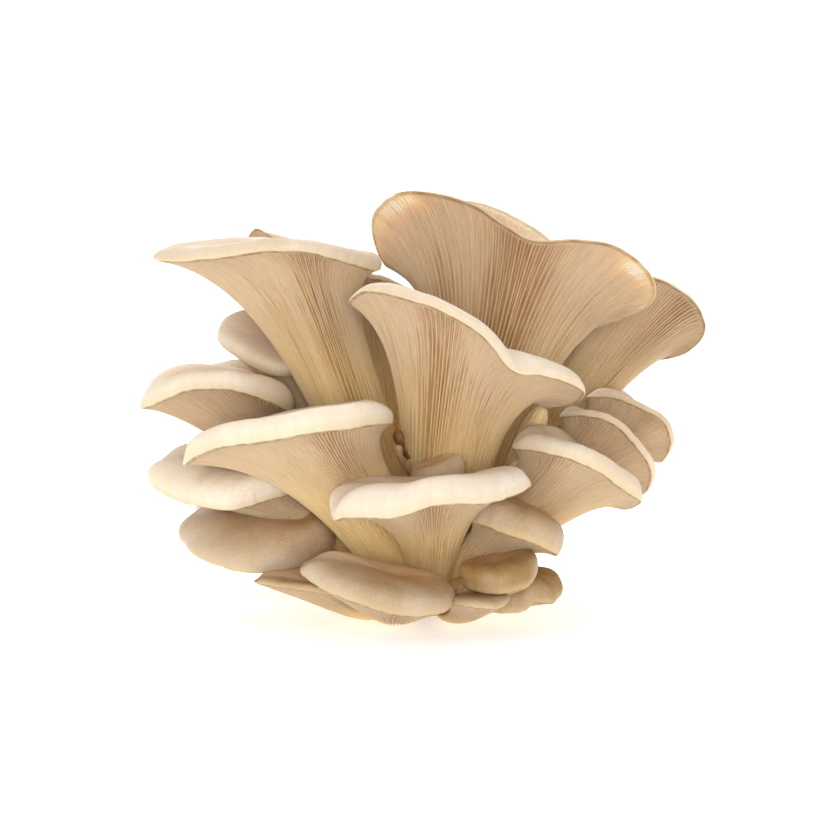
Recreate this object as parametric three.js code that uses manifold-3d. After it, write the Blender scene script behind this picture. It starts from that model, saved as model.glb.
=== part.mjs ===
/*
 * Oyster mushroom cluster, in millimetres, +Z up.
 *
 * Fan-shaped fruit bodies grow out of one cut butt. The origin is the middle of the butt's flat cut
 * face, which the cluster stands on. -Y is the front. Each fruit body is one solid: stem, gills that
 * run down the stem, and a smooth cap whose margin rolls over the gills' ends.
 *
 * The rims are laid out on a front view, as a viewer VIEW_DISTANCE away and VIEW_PITCH above the
 * horizon sees them: [across, up, depth], with across and up measured where depth is FRONT_DEPTH.
 */
import * as THREE from "three";
import { mergeVertices } from "three/addons/utils/BufferGeometryUtils.js";
import Module from "manifold-3d";

const VIEW_DISTANCE = 800;
const VIEW_PITCH = THREE.MathUtils.degToRad(5);
const FRONT_DEPTH = -30;
const VIEW_MIDDLE = { across: -1.4, up: 68.3, height: 66 };

// Gap kept between neighbouring solids
const CLEARANCE = 0.6;
// Facets this close to flat are joined where one body has grown round another
const JOIN_FACETS = 0.08;

// The butt, the shared foot that was cut from the growing block
const BUTT_RADIUS = 23;
const BUTT_HEIGHT = 30;

// Columns round a rim (two to a gill), gill rows and gill height, by size of fruit body
const LARGEST = { columns: 56, gillRows: 4, gillHeight: 1.5 };
const LARGE = { columns: 40, gillRows: 4, gillHeight: 1.3 };
const MIDDLING = { columns: 28, gillRows: 3, gillHeight: 1.1 };
const SMALL = { columns: 18, gillRows: 3, gillHeight: 0.8 };

// How far along the underside, from root to rim, the gills start and are full height
const GILLS_START = 0.12;
const GILLS_FULL = 0.4;
const GILLS_FADE = 0.9;
const STEM_ROWS = [0, 0.2];
const TOP_ROWS = [0.08, 0.27, 0.58];
const LIP_LEAN = THREE.MathUtils.degToRad(28);
// How far in from the rim, as a share of the way to the throat, the cap runs flat before it dips
const FLARE = 0.55;
// A cubic curve rises to this share of its first handle
const LIP_HANDLE = 2.2;
// The rolled margin thins at a cap's tips: where the rim turns more than TIP_BEND starts, over this
// share of its length, by up to TIP_THINNING
const TIP_SPAN = 0.07;
const TIP_BEND = [0.5, 1.2];
const TIP_THINNING = 0.7;

/*
 * One entry for each fruit body, from the earliest grown to the last. root is where the stem leaves
 * the butt (x, y, z); hub is the throat where stem becomes cap, and rim the margin, both on the front
 * view. stem and neck are radii at root and throat, lip the height of the rolled margin, flesh the
 * thickness over the throat and dome how far the top swells over it.
 */
const FRUIT_BODIES = [
  {
    name: "mushroom_top_right",
    size: LARGEST,
    root: [10, 4, 20],
    hub: [27, 100, 0],
    stem: 11,
    neck: 12,
    lip: 2.2,
    flesh: 8,
    dome: 2,
    rim: [
      [-11, 116, -8], [-15.5, 125, -14], [-15.5, 133, -16], [-8, 140, -17], [6, 139, -22],
      [17, 135.7, -26], [27, 129.3, -30], [35, 124.8, -32], [50, 124.4, -31], [63, 122.4, -29],
      [73.5, 114.5, -25], [75, 106, -20], [66, 99.8, -15], [54, 96, -8], [47, 97, 2],
      [50, 109, 18], [44, 122, 30], [27, 133.5, 35], [12, 137.5, 30], [-5, 127, 14],
    ],
  },
  {
    name: "mushroom_top_left",
    size: LARGEST,
    root: [-6, -2, 20],
    hub: [-36, 111, -28],
    flare: 0.72,
    stem: 10.5,
    neck: 12,
    lip: 5,
    flesh: 7,
    dome: 3,
    rim: [
      [-85.5, 118.2, -28], [-77, 117.7, -41], [-63, 119, -51], [-50, 120.8, -56],
      [-37, 120.9, -55], [-26, 117.9, -48], [-17, 115.2, -38], [-12.8, 115.3, -25],
      [-22, 117.5, -3], [-45, 121, 7], [-69, 120.5, -2], [-83, 119, -15],
    ],
  },
  {
    name: "mushroom_centre",
    size: LARGEST,
    root: [6, -10, 20],
    hub: [10, 86, -44],
    stem: 12,
    neck: 14,
    lip: 4.5,
    flesh: 7,
    dome: 3,
    rim: [
      [-23.3, 105, -51], [-18, 108.4, -59], [-4, 105.4, -69], [10, 100.2, -72],
      [20, 93.6, -71], [27, 84.8, -71], [31, 81.9, -71], [40, 81, -67], [50, 77.4, -56],
      [52.5, 75, -48], [48, 71.5, -40], [39, 71, -33], [30, 80, -24], [14, 93, -18],
      [-4, 102, -20], [-20, 103, -38],
    ],
  },
  {
    name: "mushroom_right_rear",
    size: LARGE,
    root: [15, 10, 18],
    hub: [64, 94, 20],
    stem: 8,
    neck: 9,
    lip: 2,
    flesh: 6,
    dome: 2,
    rim: [
      [52, 103, 12], [62, 113, 5], [76, 112, -1], [87, 105.5, -3], [91, 98.5, -2], [90.5, 94, 0],
      [84, 88, 5], [69.5, 86, 15], [62, 91, 27], [66, 103, 37], [60, 111, 36], [51, 110, 24],
    ],
  },
  {
    name: "mushroom_front_left",
    size: LARGE,
    root: [-6, -24, 18],
    hub: [-29, 57, -54],
    stem: 10.5,
    neck: 13,
    lip: 8,
    flesh: 6,
    dome: 4,
    rim: [
      [-76, 52.6, -48], [-67.5, 57, -60], [-48, 60.3, -72], [-36, 62.2, -74], [-24, 63.8, -72],
      [-14.5, 65.4, -66], [-9.5, 65.6, -58], [-9.5, 66.5, -49], [-17, 66, -41],
      [-34, 63.5, -34], [-57, 59, -33], [-73, 54, -39],
    ],
  },
  {
    name: "mushroom_front",
    size: LARGE,
    root: [3, -28, 14],
    hub: [4, 41, -64],
    stem: 8,
    neck: 8.5,
    lip: 7.5,
    flesh: 5,
    dome: 2,
    rim: [
      [-28, 34.8, -70], [-24.5, 35.3, -76], [-8, 35.6, -84], [4, 39.1, -85], [21, 40.2, -80],
      [31, 43, -70], [35.2, 45.5, -60], [29, 42, -49], [10, 39, -46], [-12, 40, -46],
      [-27, 40.5, -58],
    ],
  },
  {
    name: "mushroom_right_front",
    size: MIDDLING,
    root: [10, -14, 14],
    hub: [44, 48, -42],
    stem: 9,
    neck: 11,
    lip: 5.5,
    flesh: 7,
    dome: 4,
    rim: [
      [29, 58, -44], [35, 57.2, -53], [45, 55.3, -60], [58, 49.5, -59], [67, 43, -54],
      [70.5, 40.5, -48], [65, 38.3, -40], [56, 42, -31], [52, 52, -25], [42, 60, -27], [32, 61, -35],
    ],
  },
  {
    name: "mushroom_right_middle",
    size: MIDDLING,
    root: [13, -6, 15],
    hub: [54, 54, -20],
    stem: 7.5,
    neck: 9,
    lip: 3.5,
    flesh: 6,
    dome: 3,
    rim: [
      [44.5, 68.2, -25], [51, 68.6, -32], [60, 66.6, -37], [68.2, 59.5, -38], [73.4, 51, -33],
      [71.5, 43.5, -24], [63, 44, -12], [63, 55, -4], [57, 66, -4], [47, 70, -13],
    ],
  },
  {
    name: "mushroom_right_back",
    size: MIDDLING,
    root: [14, 2, 15],
    hub: [62, 61, -4],
    stem: 7,
    neck: 8,
    lip: 3,
    flesh: 6,
    dome: 3,
    rim: [
      [53, 74.6, -8], [61, 74.3, -15], [70, 71, -18], [77, 67, -18], [80, 60, -14],
      [77, 53.5, -8], [73, 56, 2], [72, 66, 7], [65, 74, 5], [57, 76, -1],
    ],
  },
  {
    name: "mushroom_left",
    size: MIDDLING,
    root: [-10, -4, 16],
    hub: [-58, 71, -16],
    stem: 7.5,
    neck: 8,
    lip: 7,
    flesh: 6,
    dome: 4,
    rim: [
      [-90, 70.6, -16], [-83, 72.8, -28], [-73.5, 76.6, -35], [-57, 75.6, -38], [-47, 72, -32],
      [-41.5, 68.5, -21], [-45, 71, -7], [-60, 77, 4], [-78, 78, -1], [-88, 74, -8],
    ],
  },
  {
    name: "mushroom_left_upper",
    size: SMALL,
    root: [-8, 4, 20],
    hub: [-46, 86, -5],
    stem: 5.5,
    neck: 6,
    lip: 4.5,
    flesh: 7,
    dome: 1,
    rim: [
      [-65.3, 93.5, -9], [-62.5, 89.5, -15], [-55, 84.5, -19], [-46, 81, -18], [-38, 82, -12],
      [-36, 90, -1], [-44, 98, 4], [-54, 100, 3], [-62.3, 98.3, -2],
    ],
  },
  {
    name: "mushroom_left_lower",
    size: MIDDLING,
    root: [-12, -13, 14],
    hub: [-46, 43, -26],
    stem: 6.5,
    neck: 7,
    lip: 6,
    flesh: 14,
    dome: 1,
    rim: [
      [-87.4, 48, -20], [-83.5, 43.5, -30], [-73.6, 39.7, -40], [-61, 38, -45],
      [-51, 40.6, -42], [-42, 43, -36], [-36, 45, -28], [-36, 49, -19], [-44, 53, -11],
      [-58, 55, -6], [-74, 54, -7], [-85, 51, -12],
    ],
  },
  {
    name: "mushroom_left_lowest",
    size: MIDDLING,
    root: [-12, -14, 9],
    hub: [-38, 25, -28],
    stem: 6.5,
    neck: 7,
    lip: 5,
    flesh: 11,
    dome: 4,
    rim: [
      [-77.4, 29.8, -24], [-73.6, 24.4, -35], [-66, 20.4, -43], [-56, 18, -47],
      [-45, 18.6, -46], [-36, 21, -40], [-29, 24.5, -32], [-28, 29, -22], [-37, 34, -12],
      [-52, 37, -8], [-66, 36.5, -9], [-75, 33.5, -15],
    ],
  },
  {
    name: "mushroom_right_lower",
    size: MIDDLING,
    root: [8, -22, 12],
    hub: [26, 31.5, -51],
    stem: 7.5,
    neck: 8,
    lip: 6.5,
    flesh: 8,
    dome: 4,
    rim: [
      [14.6, 34.6, -54], [20.5, 33, -62], [28.5, 29.8, -67], [36, 27.4, -65],
      [43.5, 23.6, -56], [41, 24.5, -47], [37, 30, -38], [26, 36, -36], [16, 37.5, -43],
    ],
  },
  {
    name: "mushroom_bottom_left",
    size: MIDDLING,
    root: [-8, -31, 9.4],
    hub: [-11, 1.8, -57],
    stem: 8,
    neck: 9,
    lip: 5.5,
    flesh: 16.5,
    dome: 2,
    rim: [
      [-38.7, 18.6, -62], [-35.5, 15.2, -69], [-25.5, 10, -77], [-11, 5.2, -79], [1.5, 4, -78],
      [8.5, 6, -73], [10, 10, -64], [3, 12, -56], [-12, 13.5, -52], [-28, 19.5, -53],
      [-36.5, 21, -57],
    ],
  },
  {
    name: "mushroom_bottom_outer",
    size: SMALL,
    root: [-13, -26, 9],
    hub: [-26, 5, -48],
    stem: 8.5,
    neck: 9,
    lip: 2.5,
    flesh: 9,
    dome: 1,
    rim: [
      [-53.5, 15.6, -50], [-46, 13.6, -58], [-37, 12.6, -61], [-29, 11, -59], [-24, 13, -52],
      [-31, 17, -42], [-44, 18, -43],
    ],
  },
  {
    name: "mushroom_bottom_right",
    size: SMALL,
    root: [8, -24, 9],
    hub: [25, 11, -56],
    stem: 6,
    neck: 6.5,
    lip: 6,
    flesh: 10.5,
    dome: 1.5,
    rim: [
      [13.5, 15, -59], [16, 12.6, -66], [25, 11.2, -72], [34, 13.4, -68], [37.4, 18.5, -60],
      [34, 20, -51], [22, 16, -49],
    ],
  },
  {
    name: "mushroom_bottom_small",
    size: SMALL,
    root: [10, -29, 9],
    hub: [11, 0.2, -57],
    stem: 7.5,
    neck: 7.5,
    lip: 2.5,
    flesh: 12,
    dome: 0.5,
    rim: [
      [9.5, 8.6, -68], [14, 7.6, -74], [21, 6.6, -77], [26.5, 7.4, -74], [28.2, 10.2, -67],
      [23, 12.2, -60], [13, 11.8, -60],
    ],
  },
  {
    name: "mushroom_bottom_far_right",
    size: SMALL,
    root: [12, -18, 7],
    hub: [30, 8, -46],
    stem: 5.5,
    neck: 6,
    lip: 5,
    flesh: 10,
    dome: 1,
    rim: [
      [18, 8, -50], [24, 5.4, -60], [33, 5.8, -61], [37, 8.6, -57], [42.5, 8.4, -54],
      [45.5, 12.5, -48], [41, 14, -40], [28, 13, -36], [20, 12, -42],
    ],
  },
  {
    name: "mushroom_inner_small",
    size: SMALL,
    root: [4, -26, 22],
    hub: [7, 46, -44],
    stem: 4,
    neck: 4.5,
    lip: 4.5,
    flesh: 8,
    dome: 0.5,
    rim: [
      [-2, 45.5, -43], [2.5, 45.8, -49], [8.5, 46.8, -51], [13.8, 50, -47], [13.8, 52, -42],
      [8, 50.5, -39], [0.5, 48, -38],
    ],
  },
  {
    name: "mushroom_middle_rear",
    size: MIDDLING,
    root: [-3, 8, 20],
    hub: [-15, 101, 20],
    stem: 7,
    neck: 8,
    lip: 3,
    flesh: 5,
    dome: 3,
    rim: [
      [-30, 111, 20], [-24, 113, 13], [-14, 112, 10], [-5, 108, 12], [0, 105, 20],
      [-3, 104, 33], [-14, 107, 41], [-26, 110, 33],
    ],
  },
  {
    name: "mushroom_rear_high_left",
    size: LARGE,
    root: [-7, 12, 20],
    hub: [-42, 108, 38],
    stem: 9,
    neck: 10,
    lip: 4,
    flesh: 6,
    dome: 3,
    rim: [
      [-59, 116.5, 34], [-56.5, 122.5, 22], [-53, 128.3, 15], [-46, 124.5, 12],
      [-37, 118.5, 16], [-33, 112, 26], [-30, 104.5, 44], [-34, 99, 60], [-43, 98, 66],
      [-52, 102.5, 58], [-57, 109.5, 46],
    ],
  },
  {
    name: "mushroom_rear_high",
    size: LARGE,
    root: [4, 14, 20],
    hub: [13, 84, 56],
    stem: 9,
    neck: 10,
    lip: 5,
    flesh: 6,
    dome: 3,
    rim: [
      [-18, 96, 52], [-4, 101, 42], [12, 102, 39], [30, 99, 42], [41, 92, 54], [44, 82, 70],
      [32, 76, 82], [12, 74, 86], [-8, 80, 80], [-18, 88, 66],
    ],
  },
  {
    name: "mushroom_rear_right",
    size: MIDDLING,
    root: [13, 12, 16],
    hub: [46, 66, 42],
    stem: 8,
    neck: 9,
    lip: 5,
    flesh: 6,
    dome: 4,
    rim: [
      [30, 72, 36], [44, 78, 26], [60, 76, 29], [71, 68, 40], [74, 58, 54], [64, 52, 66],
      [48, 54, 68], [34, 62, 54],
    ],
  },
  {
    name: "mushroom_rear_left",
    size: MIDDLING,
    root: [-14, 9, 16],
    hub: [-53, 70, 32],
    stem: 8,
    neck: 8.5,
    lip: 6,
    flesh: 5,
    dome: 5,
    rim: [
      [-74, 76, 22], [-66, 81, 12], [-52, 82, 14], [-43, 79, 24], [-40, 72, 40], [-46, 64, 54],
      [-58, 64, 56], [-69, 70, 42],
    ],
  },
  {
    name: "mushroom_rear_middle",
    size: MIDDLING,
    root: [-4, 18, 15],
    hub: [-12, 54, 54],
    stem: 8,
    neck: 8.5,
    lip: 7,
    flesh: 6,
    dome: 6,
    rim: [
      [-36, 60, 52], [-26, 66, 40], [-10, 67, 38], [6, 64, 44], [12, 56, 58], [4, 48, 74],
      [-14, 46, 78], [-31, 51, 68],
    ],
  },
  {
    name: "mushroom_rear_low_left",
    size: MIDDLING,
    root: [-14, 12, 13],
    hub: [-45, 37, 36],
    stem: 6.5,
    neck: 7,
    lip: 6,
    flesh: 5,
    dome: 5,
    rim: [
      [-70, 38, 28], [-58, 45, 20], [-44, 46, 24], [-33, 42, 36], [-33, 34, 50], [-45, 28, 58],
      [-62, 28, 53], [-71, 33, 41],
    ],
  },
  {
    name: "mushroom_rear_low_right",
    size: MIDDLING,
    root: [12, 14, 13],
    hub: [27, 38, 42],
    stem: 6.5,
    neck: 7,
    lip: 6,
    flesh: 5,
    dome: 5,
    rim: [
      [10, 44, 37], [20, 48, 29], [34, 46, 27], [43, 41, 33], [45, 35, 45], [38, 30, 57],
      [24, 30, 61], [13, 35, 51],
    ],
  },
  {
    name: "mushroom_rear_lowest",
    size: SMALL,
    root: [2, 16, 12],
    hub: [4, 32, 48],
    stem: 5.5,
    neck: 6,
    lip: 5,
    flesh: 4,
    dome: 5,
    rim: [
      [-12, 36, 46], [-4, 42, 38], [10, 42, 38], [20, 37, 45], [19, 30, 57], [6, 26, 62],
      [-8, 28, 58],
    ],
  },
];

const FLESH = new THREE.MeshStandardMaterial({ color: 0xd9c3a2, roughness: 0.72, metalness: 0 });
const BUTT_FLESH = new THREE.MeshStandardMaterial({ color: 0xc7a778, roughness: 0.85, metalness: 0 });

// A point of the front view, as a point of the cluster
function seen([across, up, depth]) {
  const sin = Math.sin(VIEW_PITCH);
  const cos = Math.cos(VIEW_PITCH);
  const raised = up - VIEW_MIDDLE.up;
  const behind = depth - FRONT_DEPTH;
  const height =
    (raised * (VIEW_DISTANCE + behind * cos) - VIEW_DISTANCE * behind * sin) /
    (VIEW_DISTANCE * cos + raised * sin);
  const away = VIEW_DISTANCE + behind * cos - height * sin;
  const sideways = (across - VIEW_MIDDLE.across) * (away / VIEW_DISTANCE);
  return new THREE.Vector3(VIEW_MIDDLE.across + sideways, depth, VIEW_MIDDLE.height + height);
}

const smooth = (from, to, x) => THREE.MathUtils.smoothstep(x, from, to);

function cubic(a, b, c, d, t) {
  return new THREE.CubicBezierCurve3(a, b, c, d).getPoint(t);
}

// The plane normal of a closed loop of points, on its smooth upper side
function loopNormal(loop) {
  const normal = new THREE.Vector3();
  loop.forEach((p, i) => normal.add(p.clone().cross(loop[(i + 1) % loop.length])));
  return normal.normalize();
}

// The angle at the stem of each rim point: half its own direction, half an even share
function stemAngles(rim, hub, side, front) {
  const share = (2 * Math.PI) / rim.length;
  const own = rim.map((p) => {
    const out = p.clone().sub(hub);
    return Math.atan2(out.dot(front), out.dot(side));
  });
  const lead = own.map((angle, i) => angle - i * share);
  const sines = lead.reduce((sum, x) => sum + Math.sin(x), 0);
  const cosines = lead.reduce((sum, x) => sum + Math.cos(x), 0);
  const start = Math.atan2(sines, cosines);
  return lead.map((x, i) => {
    const off = Math.atan2(Math.sin(x - start), Math.cos(x - start));
    return start + i * share + off / 2;
  });
}

// How thick the rolled margin is at each rim point, as a share of the body's lip
function lipShares(rim) {
  const count = rim.length;
  const span = Math.max(1, Math.round(count * TIP_SPAN));
  return rim.map((p, i) => {
    const before = p.clone().sub(rim[(i + count - span) % count]);
    const after = rim[(i + span) % count].clone().sub(p);
    return 1 - TIP_THINNING * smooth(...TIP_BEND, before.angleTo(after));
  });
}

// The smooth underside and top of a fruit body, as functions of a column and a share of the way
function sheets(body, columns) {
  const root = new THREE.Vector3(...body.root);
  const hub = seen(body.hub);
  const curve = new THREE.CatmullRomCurve3(body.rim.map(seen), true, "centripetal");
  const rim = curve.getSpacedPoints(columns).slice(0, columns);
  const normal = loopNormal(rim);
  const axis = hub.clone().sub(root).normalize();
  const side = new THREE.Vector3(1, 0, 0).addScaledVector(normal, -normal.x).normalize();
  const front = normal.clone().cross(side);
  const angles = stemAngles(rim, hub, side, front);
  const lips = lipShares(rim);
  // The cap's own axes, tipped over to those of the stem
  const tip = new THREE.Quaternion().setFromUnitVectors(normal, axis);
  side.applyQuaternion(tip);
  front.applyQuaternion(tip);
  const rise = hub.clone().sub(root);
  const middle = hub.clone().addScaledVector(normal, body.flesh);

  const round = (i, radius) => {
    const sideways = side.clone().multiplyScalar(radius * Math.cos(angles[i]));
    return sideways.addScaledVector(front, radius * Math.sin(angles[i]));
  };

  function under(i, s) {
    const foot = root.clone().add(round(i, body.stem));
    const stalk = root.clone().addScaledVector(rise, 0.55).add(round(i, body.neck));
    const flare = rim[i].clone().lerp(hub, body.flare ?? FLARE);
    return cubic(foot, stalk, flare, rim[i], s);
  }

  function over(i, t) {
    const out = rim[i].clone().sub(hub);
    out.addScaledVector(normal, -out.dot(normal)).normalize();
    const handle = LIP_HANDLE * body.lip * lips[i];
    const lipTop = rim[i]
      .clone()
      .addScaledVector(normal, handle * Math.cos(LIP_LEAN))
      .addScaledVector(out, handle * Math.sin(LIP_LEAN) * 0.5);
    const inward = rim[i].clone().sub(middle);
    inward.addScaledVector(normal, -inward.dot(normal));
    const swell = middle.clone().addScaledVector(inward, 0.5).addScaledVector(normal, body.dome);
    return cubic(rim[i], lipTop, swell, middle, t);
  }

  return { root, middle, under, over };
}

// How high the gills stand at a share of the way from root to rim
function gillShare(s) {
  return smooth(GILLS_START, GILLS_FULL, s) * (1 - smooth(GILLS_FADE, 1, s));
}

// Joins two rings of vertex numbers, where the second has as many vertices, half or twice as many
function stitch(faces, low, high) {
  const ratio = high.length / low.length;
  const count = Math.max(low.length, high.length);
  for (let i = 0; i < count; i += ratio === 1 ? 1 : 2) {
    const j = (i + 2) % count;
    if (ratio === 1) {
      const next = (i + 1) % count;
      faces.push(low[i], low[next], high[next], low[i], high[next], high[i]);
    } else if (ratio === 2) {
      const a = low[i / 2];
      const b = low[(i / 2 + 1) % low.length];
      faces.push(a, high[i + 1], high[i], a, b, high[i + 1], b, high[j], high[i + 1]);
    } else {
      const a = high[i / 2];
      const b = high[(i / 2 + 1) % high.length];
      faces.push(a, low[i], low[i + 1], a, low[i + 1], b, b, low[i + 1], low[j]);
    }
  }
}

/*
 * One fruit body as vertices and faces. With relief, every other column of the underside stands up as
 * a gill. Without it, the surface is the envelope that the gills' edges touch.
 */
function fruitBody(body, relief) {
  const { columns, gillRows, gillHeight } = body.size;
  const fine = relief ? columns : columns / 2;
  const { root, middle, under, over } = sheets(body, columns);
  const points = [];
  const faces = [];
  const ring = (list) => list.map((p) => points.push(p) - 1);
  const every = (count) => Array.from({ length: count }, (_, k) => (k * columns) / count);

  const bottom = points.push(root.clone()) - 1;
  const rings = STEM_ROWS.map((s) => ring(every(columns / 2).map((i) => under(i, s))));
  for (let k = 1; k <= gillRows; k++) {
    const s = 0.2 + (0.8 * k) / gillRows;
    const line = every(fine).map((i) => {
      const point = under(i, s);
      const along = under(i, Math.min(s + 0.02, 1)).sub(under(i, s - 0.02));
      const across = under((i + 1) % columns, s).sub(under((i + columns - 1) % columns, s));
      const outward = across.cross(along).normalize();
      const groove = relief && i % 2 === 1 ? -1 : 0;
      return point.addScaledVector(outward, groove * gillHeight * gillShare(s));
    });
    rings.push(ring(line));
  }
  TOP_ROWS.forEach((t) => rings.push(ring(every(columns / 2).map((i) => over(i, t)))));
  const top = points.push(middle) - 1;

  rings.slice(1).forEach((high, k) => stitch(faces, rings[k], high));
  const first = rings[0];
  const last = rings[rings.length - 1];
  first.forEach((v, i) => faces.push(bottom, first[(i + 1) % first.length], v));
  last.forEach((v, i) => faces.push(v, last[(i + 1) % last.length], top));
  return { points, faces };
}

// The butt: a lumpy lathe form on a flat cut face
function butt() {
  const sides = 30;
  const profile = [[1, 0], [1.04, 0.16], [1.02, 0.36], [0.9, 0.6], [0.66, 0.82], [0.34, 0.95]];
  const points = [new THREE.Vector3(0, 0, 0)];
  const faces = [];
  const rings = profile.map(([wide, high]) =>
    Array.from({ length: sides }, (_, i) => {
      const angle = (2 * Math.PI * i) / sides;
      const lump = 1 + 0.06 * Math.cos(3 * angle + 0.6) + 0.035 * Math.cos(5 * angle + 2 * high);
      const radius = BUTT_RADIUS * wide * lump;
      const spot = new THREE.Vector3(radius * Math.cos(angle), radius * Math.sin(angle), high * BUTT_HEIGHT);
      return points.push(spot) - 1;
    }),
  );
  const top = points.push(new THREE.Vector3(0, 0, BUTT_HEIGHT)) - 1;
  rings.slice(1).forEach((high, k) => stitch(faces, rings[k], high));
  rings[0].forEach((v, i) => faces.push(0, rings[0][(i + 1) % sides], v));
  rings[rings.length - 1].forEach((v, i) => faces.push(v, rings[rings.length - 1][(i + 1) % sides], top));
  return { points, faces };
}

// The same surface moved outwards, to cut a neighbour clear of it
function swollen({ points, faces }, by) {
  const normals = points.map(() => new THREE.Vector3());
  for (let k = 0; k < faces.length; k += 3) {
    const [a, b, c] = [faces[k], faces[k + 1], faces[k + 2]];
    const edge = points[b].clone().sub(points[a]);
    const face = edge.cross(points[c].clone().sub(points[a]));
    [a, b, c].forEach((v) => normals[v].add(face));
  }
  return { points: points.map((p, i) => p.clone().addScaledVector(normals[i].normalize(), by)), faces };
}

// How far a rim's curve stands outside the straight edges between every other column
function sagOf({ rim, size }) {
  const width = Math.max(...rim.map(([across]) => across)) - Math.min(...rim.map(([across]) => across));
  return (width / 2) * (1 - Math.cos((2 * Math.PI) / size.columns));
}

const wasm = await Module();
wasm.setup();

function solid({ points, faces }) {
  const vertProperties = new Float32Array(points.flatMap((p) => p.toArray()));
  return new wasm.Manifold(new wasm.Mesh({ numProp: 3, vertProperties, triVerts: new Uint32Array(faces) }));
}

// The largest piece of a solid, so that a cut leaves no loose scrap
function largest(shape) {
  const pieces = shape.decompose();
  return pieces.reduce((a, b) => (b.volume() > a.volume() ? b : a));
}

function meshOf(shape, name, material) {
  const { vertProperties, triVerts, numProp } = shape.getMesh();
  const vertices = new Float32Array((vertProperties.length / numProp) * 3);
  for (let i = 0; i < vertices.length / 3; i++) {
    vertices.set(vertProperties.subarray(i * numProp, i * numProp + 3), i * 3);
  }
  const geometry = new THREE.BufferGeometry();
  geometry.setAttribute("position", new THREE.BufferAttribute(vertices, 3));
  geometry.setIndex(new THREE.BufferAttribute(new Uint32Array(triVerts), 1));
  const mesh = new THREE.Mesh(mergeVertices(geometry, 1e-3), material);
  mesh.name = name;
  return mesh;
}

const cluster = new THREE.Group();
const buttForm = butt();
cluster.add(meshOf(solid(buttForm), "butt", BUTT_FLESH));

// Each fruit body grows round the butt and round those that came before it
const cutters = [solid(swollen(buttForm, CLEARANCE))];
FRUIT_BODIES.forEach((body) => {
  const grown = solid(fruitBody(body, true));
  const kept = cutters.reduce((shape, cutter) => shape.subtract(cutter), grown);
  cluster.add(meshOf(largest(kept.simplify(JOIN_FACETS)), body.name, FLESH));
  cutters.push(solid(swollen(fruitBody(body, false), CLEARANCE + sagOf(body))));
});

export default cluster;
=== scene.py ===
"""An oyster mushroom cluster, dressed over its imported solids.

Every fruit body is remade on the same rim, hub and root as its solid, with the gills, the rolled
margin and the finish of the real one. Properties, the butt, the stage and the finished meshes are in
metres, with +Z up and the front at -Y. The layout and all that shapes a fruit body are in millimetres.
"""

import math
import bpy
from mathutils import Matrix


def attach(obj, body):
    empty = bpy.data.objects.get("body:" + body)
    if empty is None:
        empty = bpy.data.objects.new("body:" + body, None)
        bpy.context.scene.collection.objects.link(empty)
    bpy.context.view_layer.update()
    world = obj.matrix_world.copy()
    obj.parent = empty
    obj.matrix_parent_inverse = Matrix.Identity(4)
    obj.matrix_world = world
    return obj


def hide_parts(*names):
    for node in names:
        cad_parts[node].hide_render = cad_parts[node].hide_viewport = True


bl_info = {
    "name": "Oyster Mushroom Cluster",
    "version": (1, 0, 0),
    "blender": (4, 5, 0),
    "location": "View3D > Sidebar > Mushrooms",
    "description": "Builds a cluster of gilled oyster mushrooms over its frame",
    "category": "Add Mesh",
}

import bpy
import numpy as np
from mathutils import Color, Vector

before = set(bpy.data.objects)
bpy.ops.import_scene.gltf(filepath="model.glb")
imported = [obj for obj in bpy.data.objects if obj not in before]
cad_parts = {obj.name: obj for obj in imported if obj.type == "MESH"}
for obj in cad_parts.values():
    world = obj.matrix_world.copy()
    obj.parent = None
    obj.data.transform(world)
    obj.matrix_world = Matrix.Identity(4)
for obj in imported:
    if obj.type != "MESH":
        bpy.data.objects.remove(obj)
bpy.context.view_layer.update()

MM = 0.001

# The front view that the rims are laid out on: [across, up, depth] in mm
VIEW_DISTANCE = 800.0
VIEW_PITCH = math.radians(5)
FRONT_DEPTH = -30.0
VIEW_MIDDLE = {"across": -1.4, "up": 68.3, "height": 66.0}

# The photograph's frame: its side in pixels, and its focal length in the same pixels
IMAGE_SIDE = 833
FOCAL_PIXELS = 2500.0
SENSOR_MM = 36.0

# Long gills round a neck, mesh columns to each, rows on the underside and on the top, whether there
# are third gills, and how dark the painted shade down between the gills gets
GRADES = {
    "largest": {"gills": 56, "fine": 16, "rows": 34, "top_rows": 18, "thirds": True, "openness_and_gap_shade": 1.3},
    "large": {"gills": 64, "fine": 8, "rows": 30, "top_rows": 16, "thirds": False, "openness_and_gap_shade": 1.0},
    "middling": {"gills": 48, "fine": 8, "rows": 22, "top_rows": 14, "thirds": False, "openness_and_gap_shade": 0.5},
    "hidden": {"gills": 40, "fine": 8, "rows": 20, "top_rows": 12, "thirds": False, "openness_and_gap_shade": 0.8},
    "small": {"gills": 32, "fine": 8, "rows": 18, "top_rows": 12, "thirds": False, "openness_and_gap_shade": 0.8},
}

# How far in from the rim a cap runs flat before it dips, as a share of the way to the hub
FLARE = 0.55

FRUIT_BODIES = []


def fruit_body(name, grade, **form):
    """Notes one fruit body, in mm: root is a point of the cluster, hub and rim are on the front view.

    stem and neck are radii at root and hub, lip is the height of the rolled margin, flesh the
    thickness over the hub, dome how far the top swells over it, and the cap's browning runs from 0,
    pale, to 1, as its own colour and as painted shade on caps that lie in shadow.
    """
    FRUIT_BODIES.append({"name": name, "grade": grade, "flare": FLARE, **form})


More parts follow.
